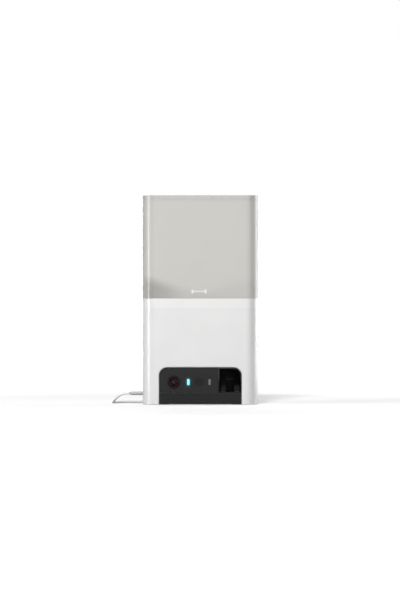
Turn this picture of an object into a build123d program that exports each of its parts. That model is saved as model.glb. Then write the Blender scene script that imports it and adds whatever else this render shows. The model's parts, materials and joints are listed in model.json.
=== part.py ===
from build123d import *
import os
from math import acos, cos, pi, radians, sin, tan

# Automatic treat feeder with a camera. Millimetres, +Z up, -Y the front, origin at the centre
# of the footprint on the surface that the feeder stands on.

# Driving dimensions
WIDTH = 146.0
DEPTH = 74.0
HEIGHT = 264.0
CORNER_R = 16.0
WALL = 2.2
HOPPER_WALL = 2.0
HOUSING_BOTTOM = 0.5
COVER_TOP = 3.2
SPLIT_Z = 122.3
COLLAR_TOP = 134.0
HOPPER_BOTTOM = 134.15
HOPPER_TOP = 258.8
LID_BOTTOM = 259.0
LID_T = 2.4
LID_PLUG_BOTTOM = 250.0
LID_PLUG_INSET = 2.5
SEAL_GROOVE = (253.0, 255.4)
LEDGE_TOP = HOPPER_BOTTOM + 2.0
SPIGOT_BOTTOM = 127.0
FRONT = -DEPTH / 2
BACK = DEPTH / 2
LEFT = -WIDTH / 2
INNER_BACK = BACK - WALL

# Window in the housing front, and the trim that fills it
WINDOW_HALF = 52.1
WINDOW_TOP = 47.0
WINDOW_R = 10.1
TRIM_FACE = -35.9
TRIM_BACK = -34.7
FLANGE_BACK = -33.2
GRILLE_BOTTOM = 0.7
GRILLE_TOP = 14.9
HOLE_PITCH = 1.7
HOLE_R = 0.45
MESH_HALF = 50.8
MESH_T = 0.3
CHUTE_LEFT = 22.4
PANEL_RIGHT = 22.2

# Camera, lights and sensor on the front panel: centre x, centre z
LENS = (-33.5, 28.4)
STATUS_LIGHT = (-15.2, 28.6)
SENSOR = (-1.8, 28.6)
SECOND_LIGHT = (11.6, 28.6)
PILL_SIZE = (7.6, 2.8)
SENSOR_R = 5.5
LENS_R = 5.9
BEZEL_R = 8.4
CAMERA_BOARD = (-27.4, -26.0)

# Treat path: drum, transfer chute and outlet
DRUM_Z = 92.0
DRUM_R = 21.0
POCKET_R = 9.0
CASE_IN_R = 21.5
CASE_OUT_R = 23.3
CASE_FRONT = -17.5
CASE_BACK = 15.7
THROAT_R = 13.4
THROAT_OUT_R = 15.0
THROAT_BOTTOM = 116.0
INLET_R = 13.6
FUNNEL_TOP = [(THROAT_R, 127.2), (35.0, 142.0), (84.0, 161.7)]
FUNNEL_UNDER = [(84.0, 159.6), (36.0, 140.4), (THROAT_OUT_R, 126.0)]
CARTRIDGE_GAP = 0.2
CARTRIDGE_TOP = 162.0
CARTRIDGE_SLOT = (1.6, 7.0, 2.0)
CARTRIDGE_END = [(80.0, 130.0), (-31.0, 130.0), (-31.0, 138.5), (-36.0, 180.0), (80.0, 180.0)]
SHAFT_R = 3.0
RUNNING_FIT = 0.05
PLATE = (15.8, 18.2)
RAMP_START_Y = -30.0
RAMP_LOW = 15.9
RAMP_R = 47.2
RAMP_T = 1.6
CHUTE_INNER = (23.8, 50.8)
TRANSFER_OUTSIDE = [
    (-15.0, 69.0), (CHUTE_LEFT, 47.0), (52.4, 47.0), (52.4, 62.0), (24.0, 82.0), (0.0, 82.0),
    (-15.0, 76.0),
]
TRANSFER_INSIDE = [
    (-13.4, 70.2), (24.0, 48.2), (24.0, 46.0), (50.8, 46.0), (50.8, 61.2), (23.5, 80.2),
    (-13.4, 80.2),
]
KICKER_AXIS = (-8.0, 10.5)
SLOT_X = (32.3, 42.4)

# Gear pair
GEAR_MODULE = 1.0
DRUM_TEETH = 54
PINION_TEETH = 15
PRESSURE = radians(20)
ADDENDUM = 0.85
DEDENDUM = 1.2
BACKLASH = 0.12
GEAR_FRONT = 26.5
GEAR_WIDTH = 5.0
MOTOR_X = -GEAR_MODULE * (DRUM_TEETH + PINION_TEETH) / 2
MOTOR_SHAFT_R = 2.0

# Fixings
BOSS_SPACING = (126.0, 54.0)
FOOT_SPACING = (92.0, 44.0)
FOOT_R = 7.0
FOOT_TOP = 1.6
SCREW_SEAT = 2.2
POSTS = [(-46.0, 68.0), (-46.0, 108.0), (38.0, 108.0), (38.0, 80.0)]
LUG_RADIUS = 25.2
LUGS = [
    (LUG_RADIUS * cos(radians(a)), DRUM_Z + LUG_RADIUS * sin(radians(a))) for a in (35, 145, 215)
]
BOARD_BOTTOM = 10.1
BOARD_TOP = 11.7
STANDOFFS = [(-61.0, -8.0), (-61.0, 16.0), (-14.0, -8.0), (-14.0, 16.0)]
CAMERA_BOSSES = [(-48.0, 19.5), (-48.0, 38.5), (18.5, 19.5), (18.5, 42.0)]
BUTTON = (-40.0, 13.7)

# Power cable: socket on the left side, route along the floor, coil behind the feeder
CABLE_R = 1.4
SOCKET = (4.0, 13.3)
COIL_CENTRE = (-28.0, 65.0)
COIL_OUTER = 21.8
COIL_PITCH = 2.8
COIL_TURNS = 4
COIL_LAYERS = 4
COIL_FLOOR = 0.65
COIL_INNER = COIL_OUTER - (COIL_TURNS - 0.25) * COIL_PITCH
CABLE_ROUTE = [
    (-91.0, 4.0, 13.3),
    (-95.2, 4.0, 13.3),
    (-99.7, 4.3, 12.3),
    (-103.6, 5.4, 10.2),
    (-106.7, 7.2, 7.4),
    (-109.2, 10.0, 4.6),
    (-111.0, 14.0, 2.5),
    (-111.6, 18.9, 1.6),
    (-110.8, 24.1, 1.5),
    (-108.4, 29.0, 1.5),
    (-104.2, 33.4, 1.5),
    (-98.4, 37.2, 1.5),
    (-90.6, 40.3, 1.5),
    (-80.6, 42.4, 1.6),
    (-67.4, 43.3, 1.9),
    (-51.0, 43.0, 2.0),
    (-40.0, 43.2, 2.1),
    (-31.0, 43.2, 2.0),
]
TAIL_ROUTE = [
    (-25.0, 43.2, 10.5),
    (-17.0, 43.4, 10.4),
    (-8.0, 44.5, 9.6),
    (2.0, 46.6, 7.7),
    (12.0, 48.8, 5.8),
    (22.0, 50.4, 4.6),
    (31.0, 51.0, 4.3),
]
PLUG_C_SIZE = (15.4, 10.4, 4.4)
PLUG_A_SIZE = (22.0, 15.6, 8.2)


def body_outline(inset=0.0, mode=Mode.ADD):
    """The feeder's plan outline, drawn in by an inset."""
    RectangleRounded(WIDTH - 2 * inset, DEPTH - 2 * inset, CORNER_R - inset, mode=mode)


def wall_ring(bottom, top, inset, thickness, mode=Mode.ADD):
    """An upright wall that follows the plan outline."""
    with BuildSketch(Plane.XY.offset(bottom)) as ring:
        body_outline(inset)
        body_outline(inset + thickness, mode=Mode.SUBTRACT)
    extrude(ring.sketch, amount=top - bottom, mode=mode)


def floor_plate(bottom, top, inset, mode=Mode.ADD):
    """A full plate that follows the plan outline."""
    with BuildSketch(Plane.XY.offset(bottom)) as plate:
        body_outline(inset)
    extrude(plate.sketch, amount=top - bottom, mode=mode)


def block(x, y, z, mode=Mode.ADD):
    """A rectangular block between pairs of limits."""
    with Locations(((x[0] + x[1]) / 2, (y[0] + y[1]) / 2, (z[0] + z[1]) / 2)):
        Box(x[1] - x[0], y[1] - y[0], z[1] - z[0], mode=mode)


def rod_x(y, z, radius, left, right, mode=Mode.ADD):
    """A cylinder along X."""
    with Locations(Location(((left + right) / 2, y, z), (0, 90, 0))):
        Cylinder(radius, right - left, mode=mode)


def rod_y(x, z, radius, front, back, mode=Mode.ADD):
    """A cylinder along Y."""
    with Locations(Location((x, (front + back) / 2, z), (90, 0, 0))):
        Cylinder(radius, back - front, mode=mode)


def rod_z(x, y, radius, bottom, top, mode=Mode.ADD):
    """A cylinder along Z."""
    with Locations((x, y, (bottom + top) / 2)):
        Cylinder(radius, top - bottom, mode=mode)


def pill_y(centre, grow, front, back, mode=Mode.ADD):
    """An upright pill shape through the front panel, grown by a margin on each side."""
    with BuildSketch(Plane.XZ.offset(-front)) as pill:
        with Locations(centre):
            SlotOverall(PILL_SIZE[0] + 2 * grow, PILL_SIZE[1] + 2 * grow, rotation=90)
    extrude(pill.sketch, amount=front - back, mode=mode)


def slot_x(size, left, right, mode=Mode.ADD):
    """A flat rounded slot on the socket's axis, along X."""
    with BuildSketch(Plane.YZ.offset(left)) as slot:
        with Locations(SOCKET):
            SlotOverall(*size)
    extrude(slot.sketch, amount=right - left, mode=mode)


def screw_y(x, z, seat, tip, radius):
    """A pan-head screw along Y: its head rests on y = seat and its shank ends at y = tip."""
    away = 1 if seat > tip else -1
    head = seat + away * 1.3 * radius
    rod_y(x, z, radius, min(seat, tip), max(seat, tip))
    rod_y(x, z, 2 * radius, min(seat, head), max(seat, head))
    cross = 0.35 * radius
    for width, height in ((1.2 * radius, cross), (cross, 1.2 * radius)):
        block((x - width, x + width), (head - 0.8 * radius, head + 0.8 * radius),
              (z - height, z + height), Mode.SUBTRACT)


def finish(builder, name):
    """Label a finished piece and write it."""
    builder.part.label = name
    export_step(builder.part, f"parts/{name}.step")


os.makedirs("parts", exist_ok=True)

# ---------------------------------------------------------------- housing and covers

with BuildPart() as base_housing:
    wall_ring(HOUSING_BOTTOM, SPLIT_Z, 0, WALL)
    with BuildSketch(Plane.XZ.offset(-FRONT + 1)):
        with Locations((0, WINDOW_TOP / 2)):
            window = Rectangle(2 * WINDOW_HALF, WINDOW_TOP)
        fillet(window.vertices().group_by(Axis.Y)[-1], WINDOW_R)
    extrude(amount=-WALL - 2, mode=Mode.SUBTRACT)
    window_edge = (
        edges()
        .filter_by_position(Axis.Y, FRONT - 0.01, FRONT + 0.01)
        .filter_by_position(Axis.Z, HOUSING_BOTTOM + 0.1, WINDOW_TOP + 0.1)
    )
    chamfer(window_edge, 0.8)
    for x in (-BOSS_SPACING[0] / 2, BOSS_SPACING[0] / 2):
        for y in (-BOSS_SPACING[1] / 2, BOSS_SPACING[1] / 2):
            rod_z(x, y, 5.6, COVER_TOP, 15.0)
            rod_z(x, y, 1.3, COVER_TOP - 0.2, 13.0, Mode.SUBTRACT)
    for x, z in POSTS:
        rod_y(x, z, 4.0, PLATE[1], INNER_BACK + 0.5)
        rod_y(x, z, 1.3, PLATE[1] - 1, PLATE[1] + 9, Mode.SUBTRACT)
    slot_x((9.6, 3.8), LEFT - 1, LEFT + WALL + 1, Mode.SUBTRACT)
    rod_y(*BUTTON, 3.15, INNER_BACK - 1, BACK + 1, Mode.SUBTRACT)
finish(base_housing, "base_housing")

with BuildPart() as hopper_collar:
    wall_ring(SPLIT_Z, COLLAR_TOP, 0, WALL)
    floor_plate(SPLIT_Z, SPLIT_Z + 2, WALL)
    wall_ring(SPLIT_Z - 5.3, SPLIT_Z, WALL + 0.2, 1.6)
    rod_z(0, 0, 17.6, SPLIT_Z - 1, SPLIT_Z + 3, Mode.SUBTRACT)
    fillet(edges().filter_by_position(Axis.Z, COLLAR_TOP - 0.01, COLLAR_TOP + 0.01), 0.5)
finish(hopper_collar, "hopper_collar")

with BuildPart() as throat_gasket:
    with BuildSketch(Plane.XY.offset(SPLIT_Z + 2)):
        Circle(20.5)
        Circle(THROAT_OUT_R + 0.4, mode=Mode.SUBTRACT)
    extrude(amount=1.4)
    fillet(edges().group_by(Axis.Z)[-1], 0.5)
finish(throat_gasket, "throat_gasket")

with BuildPart() as bottom_cover:
    floor_plate(HOUSING_BOTTOM, COVER_TOP, WALL + 0.25)
    block((-55.2, 55.2), (FRONT, -32.9), (0, 5), Mode.SUBTRACT)
    with GridLocations(*BOSS_SPACING, 2, 2):
        with Locations((0, 0, COVER_TOP / 2)):
            Cylinder(1.6, 2 * COVER_TOP, mode=Mode.SUBTRACT)
        with Locations((0, 0, SCREW_SEAT / 2)):
            Cylinder(3.0, SCREW_SEAT, mode=Mode.SUBTRACT)
    with GridLocations(*FOOT_SPACING, 2, 2):
        with Locations((0, 0, FOOT_TOP / 2)):
            Cylinder(FOOT_R + 0.1, FOOT_TOP, mode=Mode.SUBTRACT)
    for x, y in STANDOFFS:
        rod_z(x, y, 3.0, 3.0, BOARD_BOTTOM)
        rod_z(x, y, 0.95, 5.0, BOARD_BOTTOM + 1, Mode.SUBTRACT)
finish(bottom_cover, "bottom_cover")

with BuildPart() as rubber_feet:
    with GridLocations(*FOOT_SPACING, 2, 2):
        with Locations((0, 0, FOOT_TOP / 2)):
            Cylinder(FOOT_R, FOOT_TOP)
    chamfer(edges().group_by(Axis.Z)[0], 0.4)
finish(rubber_feet, "rubber_feet")

with BuildPart() as bottom_screws:
    with GridLocations(*BOSS_SPACING, 2, 2):
        with Locations((0, 0, SCREW_SEAT - 0.5)):
            Cylinder(2.7, 1.0)
        with Locations((0, 0, 7.2)):
            Cylinder(1.25, 10.0)
        with Locations((0, 0, 1.4)):
            Box(3.2, 0.8, 0.6, mode=Mode.SUBTRACT)
            Box(0.8, 3.2, 0.6, mode=Mode.SUBTRACT)
finish(bottom_screws, "bottom_screws")

# ---------------------------------------------------------------- front trim and camera

with BuildPart() as front_panel:
    with BuildSketch(Plane.XZ.offset(-TRIM_BACK)):
        with BuildLine():
            Polyline((-42.05, 46.85), (PANEL_RIGHT, 46.85), (PANEL_RIGHT, 15.0), (-52.0, 15.0),
                     (-52.0, 36.9))
            RadiusArc((-52.0, 36.9), (-42.05, 46.85), 9.95)
        make_face()
    extrude(amount=TRIM_BACK - TRIM_FACE)
    block((-54.5, PANEL_RIGHT), (TRIM_BACK, FLANGE_BACK), (15.0, 49.5))
    rod_y(*LENS, 7.6, TRIM_FACE - 1, FLANGE_BACK + 1, Mode.SUBTRACT)
    rod_y(*SENSOR, SENSOR_R + 0.1, TRIM_FACE - 1, FLANGE_BACK + 1, Mode.SUBTRACT)
    pill_y(STATUS_LIGHT, 0.1, TRIM_FACE - 1, FLANGE_BACK + 1, Mode.SUBTRACT)
    pill_y(SECOND_LIGHT, 0.1, TRIM_FACE - 1, FLANGE_BACK + 1, Mode.SUBTRACT)
    for x, z in CAMERA_BOSSES:
        rod_y(x, z, 2.6, FLANGE_BACK - 0.2, CAMERA_BOARD[0])
        rod_y(x, z, 0.95, FLANGE_BACK, CAMERA_BOARD[0] + 1, Mode.SUBTRACT)
finish(front_panel, "front_panel")

with BuildPart() as speaker_grille:
    block((-51.95, 51.95), (TRIM_FACE, TRIM_BACK), (GRILLE_BOTTOM, GRILLE_TOP))
    for side in (-1, 1):
        block(sorted((side * 51.0, side * 54.5)), (TRIM_BACK, FLANGE_BACK),
              (GRILLE_BOTTOM, GRILLE_TOP))
    with BuildSketch(Plane.XZ.offset(-TRIM_FACE + 1)):
        with Locations((0, 8.0)):
            with GridLocations(HOLE_PITCH, HOLE_PITCH, 59, 7):
                Circle(HOLE_R)
    extrude(amount=-3.0, mode=Mode.SUBTRACT)
finish(speaker_grille, "speaker_grille")

# Fine acoustic mesh bonded behind the holes
with BuildPart() as acoustic_mesh:
    block((-MESH_HALF, MESH_HALF), (TRIM_BACK, TRIM_BACK + MESH_T), (GRILLE_BOTTOM + 0.2, GRILLE_TOP - 0.2))
finish(acoustic_mesh, "acoustic_mesh")

with BuildPart() as camera_bezel:
    rod_y(*LENS, BEZEL_R, -36.5, TRIM_FACE)
    fillet(edges().group_by(Axis.Y)[0], 0.4)
    rod_y(*LENS, 7.5, TRIM_FACE, -33.0)
    rod_y(*LENS, LENS_R + 0.1, -37, -32, Mode.SUBTRACT)
finish(camera_bezel, "camera_bezel")

with BuildPart() as camera_lens:
    with BuildSketch(Plane.YZ.offset(LENS[0])):
        with BuildLine():
            Polyline((-36.0, LENS[1] + LENS_R), (-34.4, LENS[1] + LENS_R), (-34.4, LENS[1]),
                     (-36.8, LENS[1]))
            ThreePointArc((-36.8, LENS[1]), (-36.6, LENS[1] + LENS_R / 2),
                          (-36.0, LENS[1] + LENS_R))
        make_face()
    revolve(axis=Axis((LENS[0], 0, LENS[1]), (0, 1, 0)))
finish(camera_lens, "camera_lens")

with BuildPart() as camera_barrel:
    rod_y(*LENS, LENS_R, -34.4, CAMERA_BOARD[0])
    with Locations(Location((LENS[0], -33.0, LENS[1]), (90, 0, 0))):
        Cone(2.4, 5.2, 2.8, mode=Mode.SUBTRACT)
finish(camera_barrel, "camera_barrel")

with BuildPart() as camera_board:
    block((-52.0, 22.0), CAMERA_BOARD, (16.5, 45.0))
    for x, z in CAMERA_BOSSES:
        rod_y(x, z, 1.2, CAMERA_BOARD[0] - 1, CAMERA_BOARD[1] + 1, Mode.SUBTRACT)
    block((-30.0, -16.0), (CAMERA_BOARD[1], -24.6), (20.0, 34.0))
    block((-8.0, 4.0), (CAMERA_BOARD[1], -24.2), (24.0, 36.0))
    block((-50.0, -44.0), (CAMERA_BOARD[1], -22.4), (22.5, 35.0))
finish(camera_board, "camera_board")

with BuildPart() as board_screws:
    for x, z in CAMERA_BOSSES:
        screw_y(x, z, CAMERA_BOARD[1], FLANGE_BACK + 1.2, 0.9)
finish(board_screws, "board_screws")

for centre, name in ((STATUS_LIGHT, "status_light_pipe"), (SECOND_LIGHT, "second_light_pipe")):
    with BuildPart() as light_pipe:
        pill_y(centre, 0, -36.0, CAMERA_BOARD[0])
        pill_y(centre, 0.9, FLANGE_BACK, FLANGE_BACK + 1)
    finish(light_pipe, name)

with BuildPart() as sensor_window:
    rod_y(*SENSOR, SENSOR_R, -36.0, FLANGE_BACK)
    rod_y(*SENSOR, SENSOR_R + 0.9, FLANGE_BACK, FLANGE_BACK + 1)
    rod_y(*SENSOR, SENSOR_R - 1.2, -35.0, FLANGE_BACK + 2, Mode.SUBTRACT)
finish(sensor_window, "sensor_window")

with BuildPart() as speaker_frame:
    with BuildSketch(Plane.XZ.offset(33.0)):
        with Locations((0, 9.0)):
            SlotOverall(42, 10.8)
            SlotOverall(36, 8.0, mode=Mode.SUBTRACT)
    extrude(amount=-1.6)
    with BuildSketch(Plane.XZ.offset(31.4)):
        with Locations((0, 9.0)):
            SlotOverall(38, 9.6)
            SlotOverall(36, 8.0, mode=Mode.SUBTRACT)
    extrude(amount=-3.4)
    with BuildSketch(Plane.XZ.offset(28.0)):
        with Locations((0, 9.0)):
            SlotOverall(38, 9.6)
    extrude(amount=-1.2)
    rod_y(0, 9.0, 4.4, -27.0, -23.4)
finish(speaker_frame, "speaker_frame")

with BuildPart() as speaker_cone:
    with BuildSketch(Plane.XZ.offset(32.2)):
        with Locations((0, 9.0)):
            SlotOverall(35.8, 7.8)
    extrude(amount=-0.6)
    with Locations((0, -31.9, 9.0)):
        Sphere(2.6)
    block((-5, 5), (-31.6, -28), (4, 14), Mode.SUBTRACT)
    rod_y(0, 9.0, 2.2, -31.6, -28.0)
finish(speaker_cone, "speaker_cone")

# ---------------------------------------------------------------- boards, socket and switch

with BuildPart() as main_board:
    block((-69.5, -8.0), (-12.0, 20.0), (BOARD_BOTTOM, BOARD_TOP))
    for x, y in STANDOFFS:
        rod_z(x, y, 1.2, BOARD_BOTTOM - 1, BOARD_TOP + 1, Mode.SUBTRACT)
finish(main_board, "main_board")

with BuildPart() as main_board_chips:
    block((-50.0, -38.0), (-6.0, 6.0), (BOARD_TOP, BOARD_TOP + 1.4))
    block((-32.0, -20.0), (2.0, 18.0), (BOARD_TOP, BOARD_TOP + 2.4))
    block((-32.0, -24.0), (-9.0, -3.0), (BOARD_TOP, BOARD_TOP + 1.2))
    block((-14.0, -10.0), (-2.0, 8.0), (BOARD_TOP, BOARD_TOP + 5.5))
    for x, y in ((-55.0, 14.0), (-55.0, -7.0)):
        rod_z(x, y, 2.5, BOARD_TOP, BOARD_TOP + 6.0)
finish(main_board_chips, "main_board_chips")

with BuildPart() as board_standoff_screws:
    for x, y in STANDOFFS:
        rod_z(x, y, 0.9, 5.6, BOARD_TOP)
        rod_z(x, y, 1.8, BOARD_TOP, BOARD_TOP + 1.2)
        block((x - 1.1, x + 1.1), (y - 0.25, y + 0.25), (BOARD_TOP + 0.6, BOARD_TOP + 2),
              Mode.SUBTRACT)
finish(board_standoff_screws, "board_standoff_screws")

with BuildPart() as usb_c_socket:
    slot_x((8.94, 3.2), -72.6, -65.3)
    slot_x((8.5, 2.64), -73.0, -65.9, Mode.SUBTRACT)
    block((-70.4, -65.6), (SOCKET[0] - 3.3, SOCKET[0] + 3.3), (SOCKET[1] - 0.35, SOCKET[1] + 0.35))
finish(usb_c_socket, "usb_c_socket")

with BuildPart() as reset_switch:
    block((BUTTON[0] - 3, BUTTON[0] + 3), (15.5, 19.5), (BOARD_TOP, BOARD_TOP + 4.0))
    rod_y(*BUTTON, 1.3, 19.5, 20.3)
finish(reset_switch, "reset_switch")

with BuildPart() as reset_button:
    rod_y(*BUTTON, 3.0, 33.0, 36.7)
    rod_y(*BUTTON, 4.2, 32.8, 34.1)
    rod_y(*BUTTON, 1.6, 21.3, 33.0)
    fillet(edges().group_by(Axis.Y)[-1], 0.4)
finish(reset_button, "reset_button")

# ---------------------------------------------------------------- dispensing mechanism

with BuildPart() as drum_case:
    rod_y(0, DRUM_Z, CASE_OUT_R, CASE_FRONT, CASE_BACK)
    rod_z(0, 0, 17.2, 100.0, SPLIT_Z - 0.3)
    block((-30, 30), (CASE_BACK, 20), (90, 112.4), Mode.SUBTRACT)
    for x, z in LUGS:
        rod_y(x, z, 3.2, CASE_BACK - 8, CASE_BACK)
    rod_y(0, DRUM_Z, CASE_IN_R, CASE_FRONT + 1.8, CASE_BACK + 5, Mode.SUBTRACT)
    rod_z(0, 0, THROAT_OUT_R + 0.6, 115.4, SPLIT_Z + 1, Mode.SUBTRACT)
    rod_z(0, 0, INLET_R, 104.0, SPLIT_Z, Mode.SUBTRACT)
    block((-13, 19), (-13.5, 13.5), (62, 84), Mode.SUBTRACT)
    rod_y(0, DRUM_Z, 5.0, CASE_FRONT - 1, CASE_FRONT + 3, Mode.SUBTRACT)
    for x, z in LUGS:
        rod_y(x, z, 1.2, CASE_BACK - 7, CASE_BACK + 1, Mode.SUBTRACT)
finish(drum_case, "drum_case")

with BuildPart() as mechanism_plate:
    block((-50.0, 42.0), PLATE, (64.0, 112.0))
    fillet(edges().filter_by(Axis.Y), 4.0)
    rod_y(0, DRUM_Z, 5.0, PLATE[0] - 1, PLATE[1] + 1, Mode.SUBTRACT)
    rod_y(MOTOR_X, DRUM_Z, 3.0, PLATE[0] - 1, PLATE[1] + 1, Mode.SUBTRACT)
    for x, z in POSTS + LUGS + [(MOTOR_X - 7, DRUM_Z - 7), (MOTOR_X + 7, DRUM_Z + 7)]:
        rod_y(x, z, 1.5, PLATE[0] - 1, PLATE[1] + 1, Mode.SUBTRACT)
finish(mechanism_plate, "mechanism_plate")

with BuildPart() as drum_bushes:
    rod_y(0, DRUM_Z, 5.0, CASE_FRONT, CASE_FRONT + 1.8)
    rod_y(0, DRUM_Z, 6.4, CASE_FRONT - 1, CASE_FRONT)
    rod_y(0, DRUM_Z, 5.0, *PLATE)
    rod_y(0, DRUM_Z, 6.4, PLATE[1], PLATE[1] + 1.4)
    rod_y(0, DRUM_Z, SHAFT_R + RUNNING_FIT, -25, 25, Mode.SUBTRACT)
finish(drum_bushes, "drum_bushes")

with BuildPart() as mechanism_screws:
    for x, z in POSTS:
        screw_y(x, z, PLATE[0], PLATE[1] + 7.0, 1.2)
    for x, z in LUGS:
        screw_y(x, z, PLATE[1], CASE_BACK - 6.0, 1.15)
    for offset in (-7, 7):
        screw_y(MOTOR_X + offset, DRUM_Z + offset, PLATE[1], PLATE[0] - 6.0, 1.1)
finish(mechanism_screws, "mechanism_screws")

with BuildPart() as dispensing_drum:
    rod_y(0, DRUM_Z, DRUM_R, -15.0, 15.0)
    rod_y(0, DRUM_Z, SHAFT_R, -20, 20, Mode.SUBTRACT)
    for quarter in range(4):
        angle = quarter * pi / 2
        rod_y(18.5 * cos(angle), DRUM_Z + 18.5 * sin(angle), POCKET_R, -13, 13, Mode.SUBTRACT)
finish(dispensing_drum, "dispensing_drum")

with BuildPart() as drum_shaft:
    rod_y(0, DRUM_Z, SHAFT_R, -18.5, 33.0)
    chamfer(edges().filter_by(GeomType.CIRCLE), 0.4)
finish(drum_shaft, "drum_shaft")


def gear_outline(teeth, centre, first_tooth):
    """Involute spur gear outline, to be drawn inside a BuildLine block."""
    pitch_r = GEAR_MODULE * teeth / 2
    base_r = pitch_r * cos(PRESSURE)
    tip_r = pitch_r + ADDENDUM
    root_r = pitch_r - DEDENDUM
    start_r = max(base_r, root_r)

    def at(radius, angle):
        return (centre[0] + radius * cos(angle), centre[1] + radius * sin(angle))

    def half_tooth(radius):
        contact = acos(base_r / radius)
        involute = tan(PRESSURE) - PRESSURE - tan(contact) + contact
        return pi / (2 * teeth) - BACKLASH / (2 * pitch_r) + involute

    pitch_angle = 2 * pi / teeth
    for tooth in range(teeth):
        middle = first_tooth + tooth * pitch_angle
        sides = [
            [at(r, middle + side * half_tooth(r)) for r in (start_r, pitch_r, tip_r)]
            for side in (-1, 1)
        ]
        feet = [at(root_r, middle + side * half_tooth(start_r)) for side in (-1, 1)]
        next_foot = at(root_r, middle + pitch_angle - half_tooth(start_r))
        if root_r < base_r:
            Line(feet[0], sides[0][0])
            Line(sides[1][0], feet[1])
        ThreePointArc(*sides[0])
        ThreePointArc(sides[0][2], at(tip_r, middle), sides[1][2])
        ThreePointArc(*reversed(sides[1]))
        ThreePointArc(feet[1], at(root_r, middle + pitch_angle / 2), next_foot)


with BuildPart() as drum_gear:
    with BuildSketch(Plane.XZ.offset(-GEAR_FRONT)):
        with BuildLine():
            gear_outline(DRUM_TEETH, (0, DRUM_Z), 0)
        make_face()
        with Locations((0, DRUM_Z)):
            Circle(SHAFT_R, mode=Mode.SUBTRACT)
            with PolarLocations(16, 6, start_angle=30):
                Circle(5, mode=Mode.SUBTRACT)
    extrude(amount=-GEAR_WIDTH)
finish(drum_gear, "drum_gear")

with BuildPart() as drive_pinion:
    with BuildSketch(Plane.XZ.offset(-GEAR_FRONT)):
        with BuildLine():
            gear_outline(PINION_TEETH, (MOTOR_X, DRUM_Z), pi / PINION_TEETH)
        make_face()
        with Locations((MOTOR_X, DRUM_Z)):
            Circle(MOTOR_SHAFT_R, mode=Mode.SUBTRACT)
    extrude(amount=-GEAR_WIDTH)
finish(drive_pinion, "drive_pinion")

with BuildPart() as motor_shaft:
    rod_y(MOTOR_X, DRUM_Z, MOTOR_SHAFT_R, 9.0, 33.0)
    chamfer(edges().filter_by(GeomType.CIRCLE), 0.3)
finish(motor_shaft, "motor_shaft")

with BuildPart() as motor_can:
    rod_y(MOTOR_X, DRUM_Z, 9.5, -29.0, -3.0)
    fillet(edges().group_by(Axis.Y)[0], 1.0)
    rod_y(MOTOR_X, DRUM_Z, 3.0, -30.0, -29.0)
finish(motor_can, "motor_can")

with BuildPart() as gearbox:
    block((MOTOR_X - 10, MOTOR_X + 10), (-3.0, PLATE[0]), (DRUM_Z - 10, DRUM_Z + 10))
    fillet(edges().filter_by(Axis.Y), 3.0)
    rod_y(MOTOR_X, DRUM_Z, MOTOR_SHAFT_R + RUNNING_FIT, 8.0, PLATE[0] + 1, Mode.SUBTRACT)
    for offset in (-7, 7):
        rod_y(MOTOR_X + offset, DRUM_Z + offset, 1.15, 9.0, PLATE[0] + 1, Mode.SUBTRACT)
finish(gearbox, "gearbox")

with BuildPart() as transfer_chute:
    for outline, half_depth, mode in ((TRANSFER_OUTSIDE, 15.6, Mode.ADD),
                                      (TRANSFER_INSIDE, 14.0, Mode.SUBTRACT)):
        with BuildSketch(Plane.XZ.offset(half_depth)) as section:
            Polygon(*outline, align=None)
        extrude(section.sketch, amount=-2 * half_depth, mode=mode)
    rod_y(0, DRUM_Z, CASE_OUT_R + 0.1, -20, 20, Mode.SUBTRACT)
finish(transfer_chute, "transfer_chute")

with BuildPart() as chute_liner:
    ramp_top = RAMP_LOW + RAMP_R
    block((CHUTE_LEFT, 52.4), (TRIM_BACK, 15.0), (15.0, 46.8))
    with BuildSketch(Plane.XZ.offset(-TRIM_BACK)):
        with BuildLine():
            Polyline((52.0, 36.9), (52.0, 15.0), (CHUTE_LEFT, 15.0), (CHUTE_LEFT, 46.85),
                     (42.05, 46.85))
            RadiusArc((42.05, 46.85), (52.0, 36.9), 9.95)
        make_face()
    extrude(amount=TRIM_BACK - TRIM_FACE)
    with BuildSketch(Plane.YZ.offset(CHUTE_INNER[0])):
        with BuildLine():
            ramp_end = (13.6, ramp_top - (RAMP_R**2 - (13.6 - RAMP_START_Y) ** 2) ** 0.5)
            mid_y = RAMP_START_Y + RAMP_R * sin(radians(35))
            ramp_mid = (mid_y, ramp_top - RAMP_R * cos(radians(35)))
            Line((-40, RAMP_LOW), (RAMP_START_Y, RAMP_LOW))
            ThreePointArc((RAMP_START_Y, RAMP_LOW), ramp_mid, ramp_end)
            Polyline(ramp_end, (13.6, 60), (-13, 60), (-13, 45.4), (-40, 45.4), (-40, RAMP_LOW))
        make_face()
    extrude(amount=CHUTE_INNER[1] - CHUTE_INNER[0], mode=Mode.SUBTRACT)
    with BuildSketch(Plane.YZ.offset(CHUTE_INNER[0])):
        with Locations((0, 0)):
            Rectangle(35.4, 40, align=(Align.MAX, Align.MIN))
            Rectangle(13.6, 40, align=(Align.MIN, Align.MIN))
        with Locations((RAMP_START_Y, ramp_top)):
            Circle(RAMP_R + RAMP_T, mode=Mode.SUBTRACT)
        with Locations((-40, 0)):
            Rectangle(20, 40, align=(Align.MIN, Align.MIN), mode=Mode.SUBTRACT)
    extrude(amount=CHUTE_INNER[1] - CHUTE_INNER[0], mode=Mode.SUBTRACT)
    block(SLOT_X, (-31.0, 6.0), (14.0, 34.0), Mode.SUBTRACT)
    for front, back, outer_r in ((TRIM_FACE, TRIM_BACK, 9.9), (TRIM_BACK, -13.0, 13.0)):
        with BuildSketch(Plane.XZ.offset(-front)):
            with Locations((42.1, 36.9)):
                Rectangle(8.9, 8.9, align=(Align.MIN, Align.MIN))
                Circle(outer_r, mode=Mode.INTERSECT)
                Circle(8.5, mode=Mode.SUBTRACT)
        extrude(amount=front - back)
finish(chute_liner, "chute_liner")

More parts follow.
